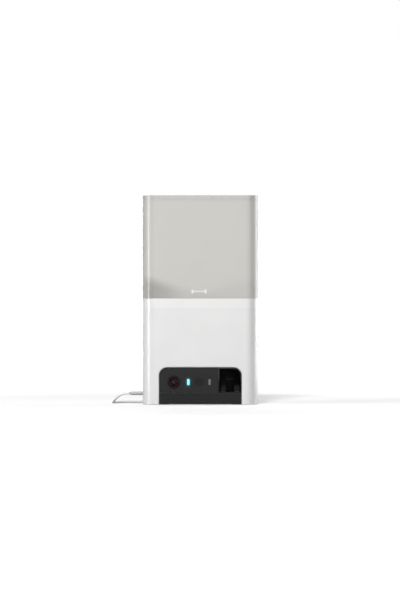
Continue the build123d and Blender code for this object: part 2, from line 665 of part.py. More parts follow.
with BuildPart() as ramp_pads:
    for left, right in ((25.6, SLOT_X[0] - 0.4), (SLOT_X[1] + 0.4, 49.0)):
        with BuildSketch(Plane.YZ.offset(left)) as pad:
            with Locations((RAMP_START_Y, ramp_top)):
                Circle(RAMP_R)
                Circle(RAMP_R - 0.8, mode=Mode.SUBTRACT)
            with Locations((RAMP_START_Y + 0.5, 0)):
                Rectangle(38, 40, align=(Align.MIN, Align.MIN), mode=Mode.INTERSECT)
        extrude(pad.sketch, amount=right - left)
finish(ramp_pads, "ramp_pads")

with BuildPart() as kicker_motor:
    block((4.0, 20.0), (-17.0, 1.0), (3.4, 17.6))
    fillet(edges().filter_by(Axis.X), 2.0)
    rod_x(*KICKER_AXIS, 4.0, 20.0, 22.0)
    rod_x(*KICKER_AXIS, 1.5 + RUNNING_FIT, 14.0, 23.0, Mode.SUBTRACT)
finish(kicker_motor, "kicker_motor")

with BuildPart() as kicker_bracket:
    block((45.0, 48.0), (-13.0, -3.0), (3.2, 14.4))
    block((45.0, 51.0), (-13.0, -3.0), (3.2, 5.0))
    rod_x(*KICKER_AXIS, 1.5 + RUNNING_FIT, 44, 49, Mode.SUBTRACT)
finish(kicker_bracket, "kicker_bracket")

with BuildPart() as kicker_shaft:
    rod_x(*KICKER_AXIS, 1.5, 15.0, 48.8)
finish(kicker_shaft, "kicker_shaft")

with BuildPart() as kicker_paddle:
    rod_x(*KICKER_AXIS, 3.8, 33.2, 41.5)
    with BuildSketch(Plane.YZ.offset(33.2)):
        with Locations(Location((*KICKER_AXIS, 0), (0, 0, 4))):
            Trapezoid(4.0, 20.0, 86, rotation=-90, align=(Align.CENTER, Align.MIN))
    extrude(amount=8.3)
    rod_x(*KICKER_AXIS, 1.5, 33.0, 42.0, Mode.SUBTRACT)
finish(kicker_paddle, "kicker_paddle")

# ---------------------------------------------------------------- hopper and lid

with BuildPart() as hopper_shell:
    wall_ring(HOPPER_BOTTOM, HOPPER_TOP, 0, HOPPER_WALL)
    wall_ring(HOPPER_BOTTOM, LEDGE_TOP, 1.0, 3.2)
    wall_ring(SPIGOT_BOTTOM, HOPPER_BOTTOM + 1, 2.6, 1.6)
finish(hopper_shell, "hopper_shell")

with BuildPart() as hopper_funnel:
    with BuildSketch(Plane.XZ):
        with BuildLine():
            Line(FUNNEL_TOP[2], FUNNEL_UNDER[0])
            ThreePointArc(*FUNNEL_UNDER)
            Polyline(FUNNEL_UNDER[2], (THROAT_OUT_R, THROAT_BOTTOM),
                     (THROAT_R, THROAT_BOTTOM), FUNNEL_TOP[0])
            ThreePointArc(*FUNNEL_TOP)
        make_face()
    revolve(axis=Axis.Z)
    floor_plate(THROAT_BOTTOM - 5, HOPPER_TOP, HOPPER_WALL + 0.05, Mode.INTERSECT)
finish(hopper_funnel, "hopper_funnel")

# The drying cartridge lies on the hopper's ledge and fills the left corner under the funnel
with BuildPart() as drying_cartridge:
    floor_plate(LEDGE_TOP, CARTRIDGE_TOP, HOPPER_WALL + 0.1)
    with BuildSketch(Plane.XZ):
        with BuildLine():
            cover = [(radius, z - CARTRIDGE_GAP) for radius, z in FUNNEL_UNDER]
            Polyline(cover[2], (cover[2][0], HOPPER_TOP), (cover[0][0], HOPPER_TOP), cover[0])
            ThreePointArc(*cover)
        make_face()
    revolve(axis=Axis.Z, mode=Mode.SUBTRACT)
    with BuildSketch(Plane.XZ.offset(DEPTH / 2)):
        Polygon(*CARTRIDGE_END, align=None)
    extrude(amount=-DEPTH, mode=Mode.SUBTRACT)
    with Locations((-52.0, 0, LEDGE_TOP + CARTRIDGE_SLOT[2] / 2)):
        with GridLocations(4.0, 9.0, 7, 5):
            Box(*CARTRIDGE_SLOT, mode=Mode.SUBTRACT)
finish(drying_cartridge, "drying_cartridge")

with BuildPart() as lid:
    floor_plate(LID_BOTTOM, HEIGHT, 0)
    fillet(edges().group_by(Axis.Z)[-1], 0.6)
    floor_plate(LID_BOTTOM - 1, HEIGHT - LID_T, LID_PLUG_INSET, Mode.SUBTRACT)
    wall_ring(LID_PLUG_BOTTOM, HEIGHT - LID_T + 0.4, LID_PLUG_INSET, 1.8)
    wall_ring(*SEAL_GROOVE, LID_PLUG_INSET - 0.5, 1.3, Mode.SUBTRACT)
finish(lid, "lid")

with BuildPart() as lid_seal:
    wall_ring(*SEAL_GROOVE, LID_PLUG_INSET - 0.2, 1.0)
finish(lid_seal, "lid_seal")

# ---------------------------------------------------------------- power cable


def corner_radii(points):
    """The arc at each corner of a cable route, as large as its two runs allow."""
    radii = []
    for before, corner, after in zip(points, points[1:], points[2:]):
        run_in = Vector(*corner) - Vector(*before)
        run_out = Vector(*after) - Vector(*corner)
        turn = radians(run_in.get_angle(run_out))
        radii.append(0.45 * min(run_in.length, run_out.length) / tan(turn / 2))
    return radii


def cable_tube(points, name):
    """A round cable along a route of straight runs and tangent arcs."""
    radii = corner_radii(points)
    with BuildPart() as tube:
        with BuildLine() as path:
            FilletPolyline(*points, radius=radii)
        route = path.wire()
        with BuildSketch(Plane(origin=route @ 0, z_dir=route % 0)):
            Circle(CABLE_R)
        sweep(path=route)
    length = route.length
    volume_ratio = tube.part.volume / (pi * CABLE_R**2 * length)
    print(name, "radii", [round(r, 1) for r in radii])
    print(name, "length", round(length, 1), "volume over section x length", round(volume_ratio, 4))
    finish(tube, name)


cable_tube(CABLE_ROUTE, "usb_cable")
cable_tube(TAIL_ROUTE, "cable_tail")

with BuildPart() as cable_coil:
    coil_height = COIL_LAYERS * COIL_PITCH
    with BuildSketch(Plane((*COIL_CENTRE, 0), x_dir=(1, 0, 0), z_dir=(0, -1, 0))):
        with Locations(((COIL_INNER + COIL_OUTER) / 2, COIL_FLOOR + coil_height / 2)):
            RectangleRounded(COIL_OUTER - COIL_INNER + 2 * CABLE_R, coil_height, CABLE_R)
    revolve(axis=Axis((*COIL_CENTRE, 0), (0, 0, 1)))
finish(cable_coil, "cable_coil")

with BuildPart() as cable_tie:
    middle = (COIL_CENTRE[1] + (COIL_INNER + COIL_OUTER) / 2, COIL_FLOOR + coil_height / 2)
    with BuildSketch(Plane.YZ.offset(COIL_CENTRE[0] - 4)):
        with Locations(middle):
            RectangleRounded(COIL_OUTER - COIL_INNER + 2 * CABLE_R + 1.2, coil_height + 1.2, 2)
            RectangleRounded(COIL_OUTER - COIL_INNER + 2 * CABLE_R, coil_height, CABLE_R,
                             mode=Mode.SUBTRACT)
    extrude(amount=8)
finish(cable_tie, "cable_tie")

with BuildPart() as usb_c_plug:
    slot_x(PLUG_C_SIZE[1:], LEFT - 0.1 - PLUG_C_SIZE[0], LEFT - 0.1)
    fillet(edges().group_by(Axis.X)[0], 0.8)
    rod_x(*SOCKET, 1.9, CABLE_ROUTE[0][0], LEFT - 0.1 - PLUG_C_SIZE[0])
    chamfer(edges().group_by(Axis.X)[0], 0.4)
finish(usb_c_plug, "usb_c_plug")

with BuildPart() as usb_c_shell:
    slot_x((8.25, 2.4), LEFT - 0.1, -66.6)
    slot_x((7.6, 1.7), LEFT + 1.6, -66.0, Mode.SUBTRACT)
finish(usb_c_shell, "usb_c_shell")

plug_start = TAIL_ROUTE[-1]
plug_end = plug_start[0] + PLUG_A_SIZE[0]
plug_y = (plug_start[1] - PLUG_A_SIZE[1] / 2, plug_start[1] + PLUG_A_SIZE[1] / 2)
plug_z = (plug_start[2] - PLUG_A_SIZE[2] / 2, plug_start[2] + PLUG_A_SIZE[2] / 2)

with BuildPart() as usb_a_plug:
    block((plug_start[0], plug_end), plug_y, plug_z)
    fillet(edges().filter_by(Axis.X), 2.0)
    fillet(edges().group_by(Axis.X)[0], 1.2)
finish(usb_a_plug, "usb_a_plug")


def centred(middle, size):
    """Limits of a span about its middle."""
    return (middle - size / 2, middle + size / 2)


with BuildPart() as usb_a_shell:
    block((plug_end, plug_end + 12), centred(plug_start[1], 12.0), centred(plug_start[2], 4.5))
    block((plug_end + 0.5, plug_end + 13), centred(plug_start[1], 11.4),
          centred(plug_start[2], 3.9), Mode.SUBTRACT)
finish(usb_a_shell, "usb_a_shell")

with BuildPart() as usb_a_insert:
    block((plug_end + 0.5, plug_end + 11.4), centred(plug_start[1], 11.4),
          (plug_start[2] - 1.95, plug_start[2] - 0.1))
finish(usb_a_insert, "usb_a_insert")
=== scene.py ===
"""The looks of an automatic treat feeder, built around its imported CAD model.

Metres, +Z up, front at -Y.
"""

import json
from math import cos, pi, radians, sin

import bmesh
import bpy
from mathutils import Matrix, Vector


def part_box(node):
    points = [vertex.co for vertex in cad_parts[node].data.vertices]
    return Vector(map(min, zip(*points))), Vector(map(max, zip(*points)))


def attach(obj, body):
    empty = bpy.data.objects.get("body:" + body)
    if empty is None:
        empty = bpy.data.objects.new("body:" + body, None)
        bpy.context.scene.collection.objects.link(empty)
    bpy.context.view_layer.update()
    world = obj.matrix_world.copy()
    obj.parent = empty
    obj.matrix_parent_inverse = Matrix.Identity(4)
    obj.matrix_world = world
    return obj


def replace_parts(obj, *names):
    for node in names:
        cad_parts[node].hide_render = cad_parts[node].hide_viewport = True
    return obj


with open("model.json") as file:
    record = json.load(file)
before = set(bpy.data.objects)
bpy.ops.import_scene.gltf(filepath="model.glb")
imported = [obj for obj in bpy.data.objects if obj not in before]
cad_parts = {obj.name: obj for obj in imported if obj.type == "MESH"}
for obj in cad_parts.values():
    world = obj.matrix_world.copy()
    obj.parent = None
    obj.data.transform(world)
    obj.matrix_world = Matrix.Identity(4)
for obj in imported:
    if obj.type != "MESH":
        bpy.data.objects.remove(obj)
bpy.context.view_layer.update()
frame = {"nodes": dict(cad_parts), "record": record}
nodes = frame["nodes"]
MM = 0.001


def lowest(node):
    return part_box(node)[0]


def highest(node):
    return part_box(node)[1]


def middle(node):
    return (lowest(node) + highest(node)) / 2


# ------------------------------------------------------------------ camera

CAMERA_DISTANCE = 4.000
CAMERA_HEIGHT = 0.132
CAMERA_X = -0.0005
FOCAL_LENGTH_MM = 190.5


def make_camera():
    """A level long lens straight in front of the feeder, as in the photo."""
    data = bpy.data.cameras.new("camera")
    data.sensor_width = 36
    data.lens = FOCAL_LENGTH_MM
    data.clip_end = 60
    camera = bpy.data.objects.new("camera", data)
    bpy.context.scene.collection.objects.link(camera)
    camera.location = (CAMERA_X, lowest("base_housing").y - CAMERA_DISTANCE, CAMERA_HEIGHT)
    camera.rotation_euler = (radians(90), 0, 0)
    bpy.context.scene.camera = camera


make_camera()

# ------------------------------------------------------------------ materials


class Material:
    """A Principled material with helpers that add detail from object coordinates."""

    def __init__(self, name, color, roughness, **sockets):
        self.material = bpy.data.materials.new(name)
        self.material.use_nodes = True
        self.tree = self.material.node_tree
        self.shader = self.tree.nodes["Principled BSDF"]
        self.output = self.tree.nodes["Material Output"]
        self.coords = self.add("TexCoord").outputs["Object"]
        self.color = color
        self.shader.inputs["Base Color"].default_value = (*color, 1)
        self.shader.inputs["Roughness"].default_value = roughness
        for socket, value in sockets.items():
            self.shader.inputs[socket.replace("_", " ")].default_value = value

    def add(self, kind, **settings):
        node = self.tree.nodes.new("ShaderNode" + kind)
        for key, value in settings.items():
            setattr(node, key, value)
        return node

    def link(self, source, target):
        self.tree.links.new(source, target)

    def math(self, operation, first, second=0.5):
        node = self.add("Math", operation=operation)
        for socket, value in zip(node.inputs, (first, second)):
            if isinstance(value, (int, float)):
                socket.default_value = value
            else:
                self.link(value, socket)
        return node.outputs[0]

    def length(self, first, second):
        """How far a point at these two coordinates is from the origin."""
        squares = [self.math("MULTIPLY", side, side) for side in (first, second)]
        return self.math("SQRT", self.math("ADD", *squares))

    def noise(self, scale, detail=3, roughness=0.55, stretch=(1, 1, 1)):
        mapping = self.add("Mapping")
        mapping.inputs["Scale"].default_value = stretch
        self.link(self.coords, mapping.inputs["Vector"])
        noise = self.add("TexNoise")
        noise.inputs["Scale"].default_value = scale
        noise.inputs["Detail"].default_value = detail
        noise.inputs["Roughness"].default_value = roughness
        self.link(mapping.outputs[0], noise.inputs["Vector"])
        return noise.outputs["Fac"]

    def spread(self, value, low, high, start=0.3, end=0.7):
        node = self.add("MapRange")
        self.link(value, node.inputs["Value"])
        for socket, number in zip(("From Min", "From Max", "To Min", "To Max"), (start, end, low, high)):
            node.inputs[socket].default_value = number
        return node.outputs["Result"]

    def ease(self, value, low, high, start, end):
        """Like spread, but it starts and stops gently."""
        result = self.spread(value, low, high, start, end)
        result.node.interpolation_type = "SMOOTHSTEP"
        return result

    def mix(self, factor, first, second):
        node = self.add("Mix", data_type="RGBA")
        self.link(factor, node.inputs["Factor"])
        for socket, value in (("A", first), ("B", second)):
            target = next(s for s in node.inputs if s.name == socket and s.type == "RGBA")
            if isinstance(value, tuple):
                target.default_value = (*value, 1)
            else:
                self.link(value, target)
        return next(s for s in node.outputs if s.type == "RGBA")

    def base_color(self):
        """The socket that feeds the base colour."""
        return self.shader.inputs["Base Color"].links[0].from_socket

    def object_xyz(self):
        split = self.add("SeparateXYZ")
        self.link(self.coords, split.inputs[0])
        return split.outputs

    def mottle(self, amount, scale, stretch=(1, 1, 1)):
        """The colour drifts a little lighter and darker."""
        dark = tuple(c * (1 - amount) for c in self.color)
        light = tuple(min(1, c * (1 + amount)) for c in self.color)
        factor = self.spread(self.noise(scale, 4, stretch=stretch), 0, 1)
        self.link(self.mix(factor, dark, light), self.shader.inputs["Base Color"])
        return self

    def uneven_gloss(self, low, high, scale):
        """The roughness drifts between two values, as handling and moulding leave it."""
        self.link(self.spread(self.noise(scale, 5), low, high), self.shader.inputs["Roughness"])
        return self

    def grain(self, size, depth, strength=0.4, detail=2, stretch=(1, 1, 1)):
        """A fine moulded texture: size is its pitch and depth its height, in metres."""
        bump = self.add("Bump")
        bump.inputs["Strength"].default_value = strength
        bump.inputs["Distance"].default_value = depth
        self.link(self.noise(1 / size, detail, stretch=stretch), bump.inputs["Height"])
        self.link(bump.outputs[0], self.shader.inputs["Normal"])
        return self

    def replace_surface(self, shader):
        self.link(shader, self.output.inputs["Surface"])
        return self

    def mix_shaders(self, factor, first, second):
        node = self.add("MixShader")
        if isinstance(factor, (int, float)):
            node.inputs[0].default_value = factor
        else:
            self.link(factor, node.inputs[0])
        self.link(first, node.inputs[1])
        self.link(second, node.inputs[2])
        return node.outputs[0]


def moulded(name, color, roughness, grain=0.35 * MM, depth=0.012 * MM, drift=0.02, **sockets):
    """Injection moulded plastic with a fine even texture."""
    plastic = Material(name, color, roughness, **sockets)
    plastic.mottle(drift, 30)
    plastic.uneven_gloss(roughness * 0.94, roughness * 1.10, 320)
    return plastic.grain(grain, depth)


def hazy_plastic(name, color, roughness, clear, glow):
    """Frosted plastic: a satin skin that lets light through.

    glow is the share that scatters light from behind, and clear the share that can be seen through.
    Below the funnel's slope the wall's colour carries painted shade, for the dark space under the funnel
    and the drying cartridge close behind the frosted wall: most of all at the left where the cartridge
    is, and less round the corner at the far left.
    """
    plastic = moulded(name, color, roughness, grain=0.5 * MM, depth=0.001 * MM, drift=0.008,
                      Specular_IOR_Level=0.9)
    x, y, z = plastic.object_xyz()
    reach = plastic.length(x, y)
    slope = plastic.math("ADD", plastic.math("MULTIPLY", reach, FUNNEL_SLOPE), FUNNEL_APEX)
    # painted shade: the wall darkens below the funnel's slope, most at the left where the cartridge sits
    below = plastic.ease(plastic.math("SUBTRACT", slope, z), 0, 1, -8 * MM, 7 * MM)
    funnel = plastic.spread(x, 0.15, 0.05, -73 * MM, 60 * MM)
    cartridge = plastic.ease(x, 0.22, 0.0, -58 * MM, -16 * MM)
    corner = plastic.ease(x, 0.25, 1.0, -75 * MM, -62 * MM)
    behind = plastic.math("MULTIPLY", corner, plastic.math("ADD", funnel, cartridge))
    seen = plastic.mix(plastic.math("MULTIPLY", below, behind), plastic.base_color(), SHADE_BEHIND_WALL)
    plastic.link(seen, plastic.shader.inputs["Base Color"])
    translucent = plastic.add("BsdfTranslucent")
    plastic.link(seen, translucent.inputs["Color"])
    see_through = plastic.add("BsdfTransparent")
    see_through.inputs["Color"].default_value = (0.93, 0.92, 0.90, 1)
    body = plastic.mix_shaders(glow, plastic.shader.outputs[0], translucent.outputs[0])
    return plastic.replace_surface(plastic.mix_shaders(clear, body, see_through.outputs[0]))


def metal(name, color, roughness, brushed=(1, 1, 1)):
    """Plated or ground steel with fine marks along one direction."""
    steel = Material(name, color, roughness, Metallic=1.0)
    steel.mottle(0.05, 60, brushed)
    steel.uneven_gloss(roughness - 0.08, roughness + 0.10, 220)
    return steel.grain(0.25 * MM, 0.004 * MM, 0.5, stretch=brushed)


def front_panel_material():
    """Dark satin trim with a painted glow round the status light, standing for a little light spilling
    into it.
    """
    panel = moulded("panel_plastic", PANEL_DARK, 0.45, drift=0.05, Specular_IOR_Level=0.2)
    light = middle("status_light_pipe")
    x, _, z = panel.object_xyz()
    across = panel.math("ABSOLUTE", panel.math("SUBTRACT", x, light.x))
    along = panel.math("ABSOLUTE", panel.math("SUBTRACT", z, light.z))
    core = PILL_WIDTH / 2
    past_end = panel.math("MAXIMUM", panel.math("SUBTRACT", along, PILL_LENGTH / 2 - core), 0.0)
    distance = panel.length(across, past_end)
    # painted glow: the panel emits cyan light and turns near black close to the status light
    spill = panel.spread(distance, 1, 0, core, core + SPILL_REACH)
    near = panel.math("POWER", spill, SPILL_FALL)
    panel.link(panel.mix(near, panel.base_color(), (0.001, 0.001, 0.001)),
               panel.shader.inputs["Base Color"])
    panel.shader.inputs["Emission Color"].default_value = (0.06, 0.88, 1.0, 1)
    panel.link(panel.math("MULTIPLY", near, SPILL_STRENGTH), panel.shader.inputs["Emission Strength"])
    return panel


def chute_plastic():
    """Black satin plastic, with painted shade making it blackest low down in the slot that the treats
    come out of.
    """
    chute = moulded("chute_plastic", (0.050, 0.050, 0.050), 0.50, drift=0.06, Specular_IOR_Level=0.12)
    # painted shade: darker low in the slot, below about 30 mm
    height = chute.ease(chute.object_xyz()["Z"], 0, 1, 27 * MM, 34 * MM)
    chute.link(chute.mix(height, (0.008, 0.008, 0.008), chute.base_color()),
               chute.shader.inputs["Base Color"])
    return chute


def light_pipe(name, color, strength):
    """A diffusing light pipe, its glow drifting a little brighter and dimmer."""
    pipe = moulded(name, color, 0.30, drift=0.03)
    if strength:
        pipe.shader.inputs["Emission Color"].default_value = (0.20, 0.95, 0.93, 1)
        pipe.link(pipe.spread(pipe.noise(420, 2), 0.9 * strength, 1.1 * strength),
                  pipe.shader.inputs["Emission Strength"])
    return pipe


def lens_glass():
    """Coated front glass: clear from the front, and a dark brown sheen where it turns away."""
    glass = Material("lens_glass", (0.034, 0.017, 0.024), 0.04)
    glass.uneven_gloss(0.02, 0.07, 300)
    clear = glass.add("BsdfTransparent")
    clear.inputs["Color"].default_value = (0.80, 0.68, 0.72, 1)
    facing = glass.add("LayerWeight")
    facing.inputs["Blend"].default_value = 0.35
    amount = glass.spread(facing.outputs["Facing"], 0.10, 0.75, 0.0, 1.0)
    return glass.replace_surface(glass.mix_shaders(amount, clear.outputs[0], glass.shader.outputs[0]))


def circuit_board():
    """Green solder mask with fine copper tracks showing through as paler lines."""
    board = Material("circuit_board", (0.012, 0.10, 0.045), 0.30)
    tracks = board.add("TexBrick")
    tracks.inputs["Scale"].default_value = 260
    tracks.inputs["Mortar Size"].default_value = 0.03
    tracks.inputs["Color1"].default_value = (0.010, 0.085, 0.040, 1)
    tracks.inputs["Color2"].default_value = (0.014, 0.110, 0.050, 1)
    tracks.inputs["Mortar"].default_value = (0.030, 0.210, 0.090, 1)
    board.link(board.coords, tracks.inputs["Vector"])
    board.link(tracks.outputs["Color"], board.shader.inputs["Base Color"])
    board.uneven_gloss(0.25, 0.4, 120)
    return board.grain(1.2 * MM, 0.02 * MM)


def woven_mesh():
    """Acoustic mesh: fine dark threads crossing at right angles."""
    mesh = Material("mesh_black", (0.006, 0.006, 0.006), 0.8)
    mesh.mottle(0.3, 2000)
    threads = []
    for direction in ("X", "Z"):
        wave = mesh.add("TexWave", wave_type="BANDS", bands_direction=direction)
        wave.inputs["Scale"].default_value = 900
        mesh.link(mesh.coords, wave.inputs["Vector"])
        threads.append(wave.outputs["Fac"])
    bump = mesh.add("Bump")
    bump.inputs["Distance"].default_value = 0.04 * MM
    mesh.link(mesh.math("MAXIMUM", *threads), bump.inputs["Height"])
    mesh.link(bump.outputs[0], mesh.shader.inputs["Normal"])
    return mesh


def woven_strap():
    """Hook-and-loop strap: a fine fuzzy weave."""
    strap = Material("tie_fabric", (0.018, 0.018, 0.020), 0.85)
    strap.shader.inputs["Sheen Weight"].default_value = 0.5
    strap.shader.inputs["Sheen Roughness"].default_value = 0.4
    strap.mottle(0.35, 900)
    wave = strap.add("TexWave", wave_type="BANDS", bands_direction="X")
    wave.inputs["Scale"].default_value = 420
    wave.inputs["Distortion"].default_value = 3
    strap.link(strap.coords, wave.inputs["Vector"])
    bump = strap.add("Bump")
    bump.inputs["Strength"].default_value = 0.8
    bump.inputs["Distance"].default_value = 0.15 * MM
    strap.link(wave.outputs["Fac"], bump.inputs["Height"])
    strap.link(bump.outputs[0], strap.shader.inputs["Normal"])
    return strap


WARM_GREY = (0.780, 0.768, 0.735)
PANEL_DARK = (0.0138, 0.0138, 0.0140)
# size, reach and strength of the painted glow round the status light on the panel
PILL_WIDTH, PILL_LENGTH = 2.8 * MM, 7.6 * MM
SPILL_REACH = 3.6 * MM
SPILL_FALL = 2.2
SPILL_STRENGTH = 0.20
FUNNEL_SLOPE = 0.40
FUNNEL_APEX = 127.6 * MM
# colour of the painted shade below the funnel's slope on the hopper wall
SHADE_BEHIND_WALL = (0.06, 0.02, 0.0)

materials = {
    "housing_plastic": moulded("housing_plastic", (0.800, 0.800, 0.797), 0.22, depth=0.006 * MM,
                               Specular_IOR_Level=0.9),
    "collar_plastic": moulded("collar_plastic", (0.850, 0.842, 0.830), 0.20, depth=0.003 * MM,
                              Specular_IOR_Level=0.9),
    "hopper_plastic": hazy_plastic("hopper_plastic", WARM_GREY, 0.24, 0.14, 0.20),
    "lid_plastic": hazy_plastic("lid_plastic", (0.600, 0.590, 0.565), 0.28, 0.0, 0.10),
    # a dark brown part under the funnel at the left; its dark colour also stands for the shade there,
    # seen through the hopper
    "cartridge_plastic": moulded("cartridge_plastic", (0.13, 0.11, 0.09), 0.55),
    "funnel_plastic": moulded("funnel_plastic", (0.52, 0.50, 0.46), 0.40),
    "seal_rubber": moulded("seal_rubber", (0.66, 0.66, 0.64), 0.60),
    "foot_rubber": moulded("foot_rubber", (0.045, 0.045, 0.048), 0.75, depth=0.03 * MM),
    "panel_plastic": front_panel_material(),
    "grille_plastic": moulded("grille_plastic", (0.017, 0.017, 0.0173), 0.50, drift=0.06,
                              Specular_IOR_Level=0.2),
    "chute_plastic": chute_plastic(),
    "pad_plastic": moulded("pad_plastic", (0.027, 0.027, 0.027), 0.60, drift=0.06,
                           Specular_IOR_Level=0.3),
    "transfer_plastic": moulded("transfer_plastic", (0.50, 0.50, 0.48), 0.40),
    "bezel_plastic": moulded("bezel_plastic", (0.0095, 0.0045, 0.0055), 0.30, depth=0.002 * MM,
                             Specular_IOR_Level=0.12),
    "lens_glass": lens_glass(),
    "barrel_black": moulded("barrel_black", (0.004, 0.003, 0.004), 0.55),
    "light_cyan": light_pipe("light_cyan", (0.25, 0.75, 0.73), 0.74),
    "light_grey": light_pipe("light_grey", (0.14, 0.14, 0.145), 0),
    "sensor_plastic": moulded("sensor_plastic", (0.010, 0.010, 0.0105), 0.40, depth=0.001 * MM,
                              Specular_IOR_Level=0.15),
    "mesh_black": woven_mesh(),
    "speaker_black": moulded("speaker_black", (0.02, 0.02, 0.02), 0.55),
    "circuit_board": circuit_board(),
    "component_black": moulded("component_black", (0.02, 0.02, 0.022), 0.45, drift=0.15),
    "screw_steel": metal("screw_steel", (0.62, 0.62, 0.60), 0.32),
    "contact_steel": metal("contact_steel", (0.72, 0.71, 0.69), 0.25),
    "shaft_steel": metal("shaft_steel", (0.66, 0.66, 0.66), 0.22, (1, 0.05, 1)),
    "motor_steel": metal("motor_steel", (0.55, 0.55, 0.55), 0.35, (1, 0.1, 1)),
    "bush_brass": metal("bush_brass", (0.66, 0.46, 0.20), 0.35),
    "gear_plastic": moulded("gear_plastic", (0.80, 0.78, 0.70), 0.38),
    "drum_plastic": moulded("drum_plastic", (0.10, 0.105, 0.115), 0.45),
    "kicker_plastic": moulded("kicker_plastic", (0.004, 0.004, 0.004), 0.60,
                              Specular_IOR_Level=0.05),
    "button_plastic": moulded("button_plastic", (0.62, 0.62, 0.61), 0.36),
    "cable_jacket": moulded("cable_jacket", (0.90, 0.90, 0.89), 0.45, grain=0.6 * MM, drift=0.03),
    # painted shade: the plug is made grey, darker than the white cable, for the shade on its side
    "plug_plastic": moulded("plug_plastic", (0.50, 0.50, 0.495), 0.42, drift=0.03),
    "insert_white": moulded("insert_white", (0.78, 0.78, 0.74), 0.45),
    "tie_fabric": woven_strap(),
}

for part in frame["record"]["subparts"]:
    for holder in nodes[part["node"]].material_slots:
        holder.material = materials[part["material_slot"]].material

# ------------------------------------------------------------------ mesh helpers


def place(piece, slot, body):
    """Link a new piece, paint it with its slot's material and make it ride on its body."""
    bpy.context.scene.collection.objects.link(piece)
    piece.data.materials.append(materials[slot].material)
    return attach(piece, body)


def mesh_piece(name, verts, faces, slot, body="base", smooth=True):
    """A mesh piece from points and faces."""
    mesh = bpy.data.meshes.new(name)
    mesh.from_pydata([tuple(v) for v in verts], [], faces)
    build = bmesh.new()
    build.from_mesh(mesh)
    bmesh.ops.recalc_face_normals(build, faces=build.faces)
    build.to_mesh(mesh)
    build.free()
    for polygon in mesh.polygons:
        polygon.use_smooth = smooth
    return place(bpy.data.objects.new(name, mesh), slot, body)


def loft(rings, endless=False):
    """Points and faces of a closed form through rings of equally many points.

    It is capped at both ends, or else the last ring joins the first.
    """
    count = len(rings[0])
    verts = [point for ring in rings for point in ring]
    faces = []
    for level in range(len(rings) if endless else len(rings) - 1):
        a, b = level * count, (level + 1) % len(rings) * count
        for i in range(count):
            j = (i + 1) % count
            faces.append((a + i, a + j, b + j, b + i))
    if not endless:
        faces.append(tuple(range(count)))
        faces.append(tuple(range(len(verts) - count, len(verts))))
    return verts, faces


def turned(profile, centre, endless=False, steps=48):
    """Points and faces of a form turned about an axis along Y: profile is a list of (radius, y)."""
    angles = [2 * pi * i / steps for i in range(steps)]
    rings = [[(centre.x + radius * cos(angle), y, centre.z + radius * sin(angle)) for angle in angles]
             for radius, y in profile]
    return loft(rings, endless)


def rounded_outline(width, height, radius, steps=8):
    """Points round a rounded rectangle about the origin."""
    radius = min(radius, width / 2 - 1e-6, height / 2 - 1e-6)
    points = []
    for quarter, (sx, sy) in enumerate(((1, 1), (-1, 1), (-1, -1), (1, -1))):
        centre = (sx * (width / 2 - radius), sy * (height / 2 - radius))
        for step in range(steps + 1):
            angle = (quarter + step / steps) * pi / 2
            points.append((centre[0] + radius * cos(angle), centre[1] + radius * sin(angle)))
    return points


def section_x(x, centre, width, height, radius):
    """A rounded section across X, about a centre in Y and Z."""
    return [(x, centre[0] + u, centre[1] + v) for u, v in rounded_outline(width, height, radius)]


# ------------------------------------------------------------------ power cable

CABLE_D = 2.8 * MM
COIL_CENTRE = (-28.0 * MM, 65.0 * MM)
COIL_OUTER = 21.8 * MM
COIL_FLOOR = 0.65 * MM
COIL_TURNS = 4
COIL_LAYERS = 4
POINTS_PER_TURN = 16
CABLE_ROUTE = [
    (-0.0910, 0.0040, 0.0133),
    (-0.0952, 0.0040, 0.0133),
    (-0.0997, 0.0043, 0.0123),
    (-0.1036, 0.0054, 0.0102),
    (-0.1067, 0.0072, 0.0074),
    (-0.1092, 0.0100, 0.0046),
    (-0.1110, 0.0140, 0.0025),
    (-0.1116, 0.0189, 0.0016),
    (-0.1108, 0.0241, 0.0015),
    (-0.1084, 0.0290, 0.0015),
    (-0.1042, 0.0334, 0.0015),
    (-0.0984, 0.0372, 0.0015),
    (-0.0906, 0.0403, 0.0015),
    (-0.0806, 0.0424, 0.0016),
    (-0.0674, 0.0433, 0.0019),
    (-0.0510, 0.0430, 0.0020),
    (-0.0400, 0.0432, 0.0021),
    (-0.0310, 0.0432, 0.0020),
]
TAIL_ROUTE = [
    (-0.0250, 0.0432, 0.0105),
    (-0.0170, 0.0434, 0.0104),
    (-0.0080, 0.0445, 0.0096),
    (0.0020, 0.0466, 0.0077),
    (0.0120, 0.0488, 0.0058),
    (0.0220, 0.0504, 0.0046),
    (0.0310, 0.0510, 0.0043),
]


def coil_points():
    """Control points of the wound turns: each layer spirals in or out, then steps up a quarter turn."""
    points = []
    widen = 1 / cos(pi / POINTS_PER_TURN)
    spiral = (COIL_TURNS - 0.25) * POINTS_PER_TURN
    for step in range(COIL_LAYERS * COIL_TURNS * POINTS_PER_TURN + 1):
        layer = min(step // (COIL_TURNS * POINTS_PER_TURN), COIL_LAYERS - 1)
        within = step - layer * COIL_TURNS * POINTS_PER_TURN
        wound = min(within, spiral) * CABLE_D / POINTS_PER_TURN
        inwards = layer % 2 == 0
        radius = COIL_OUTER - (wound if inwards else spiral * CABLE_D / POINTS_PER_TURN - wound)
        rise = max(0.0, within - spiral) / (POINTS_PER_TURN / 4)
        if layer == COIL_LAYERS - 1:
            rise = 0.0
        z = COIL_FLOOR + CABLE_D / 2 + (layer + rise) * CABLE_D
        angle = -pi / 2 + 2 * pi * step / POINTS_PER_TURN
        points.append((COIL_CENTRE[0] + widen * radius * cos(angle),
                       COIL_CENTRE[1] + widen * radius * sin(angle), z))
    return points


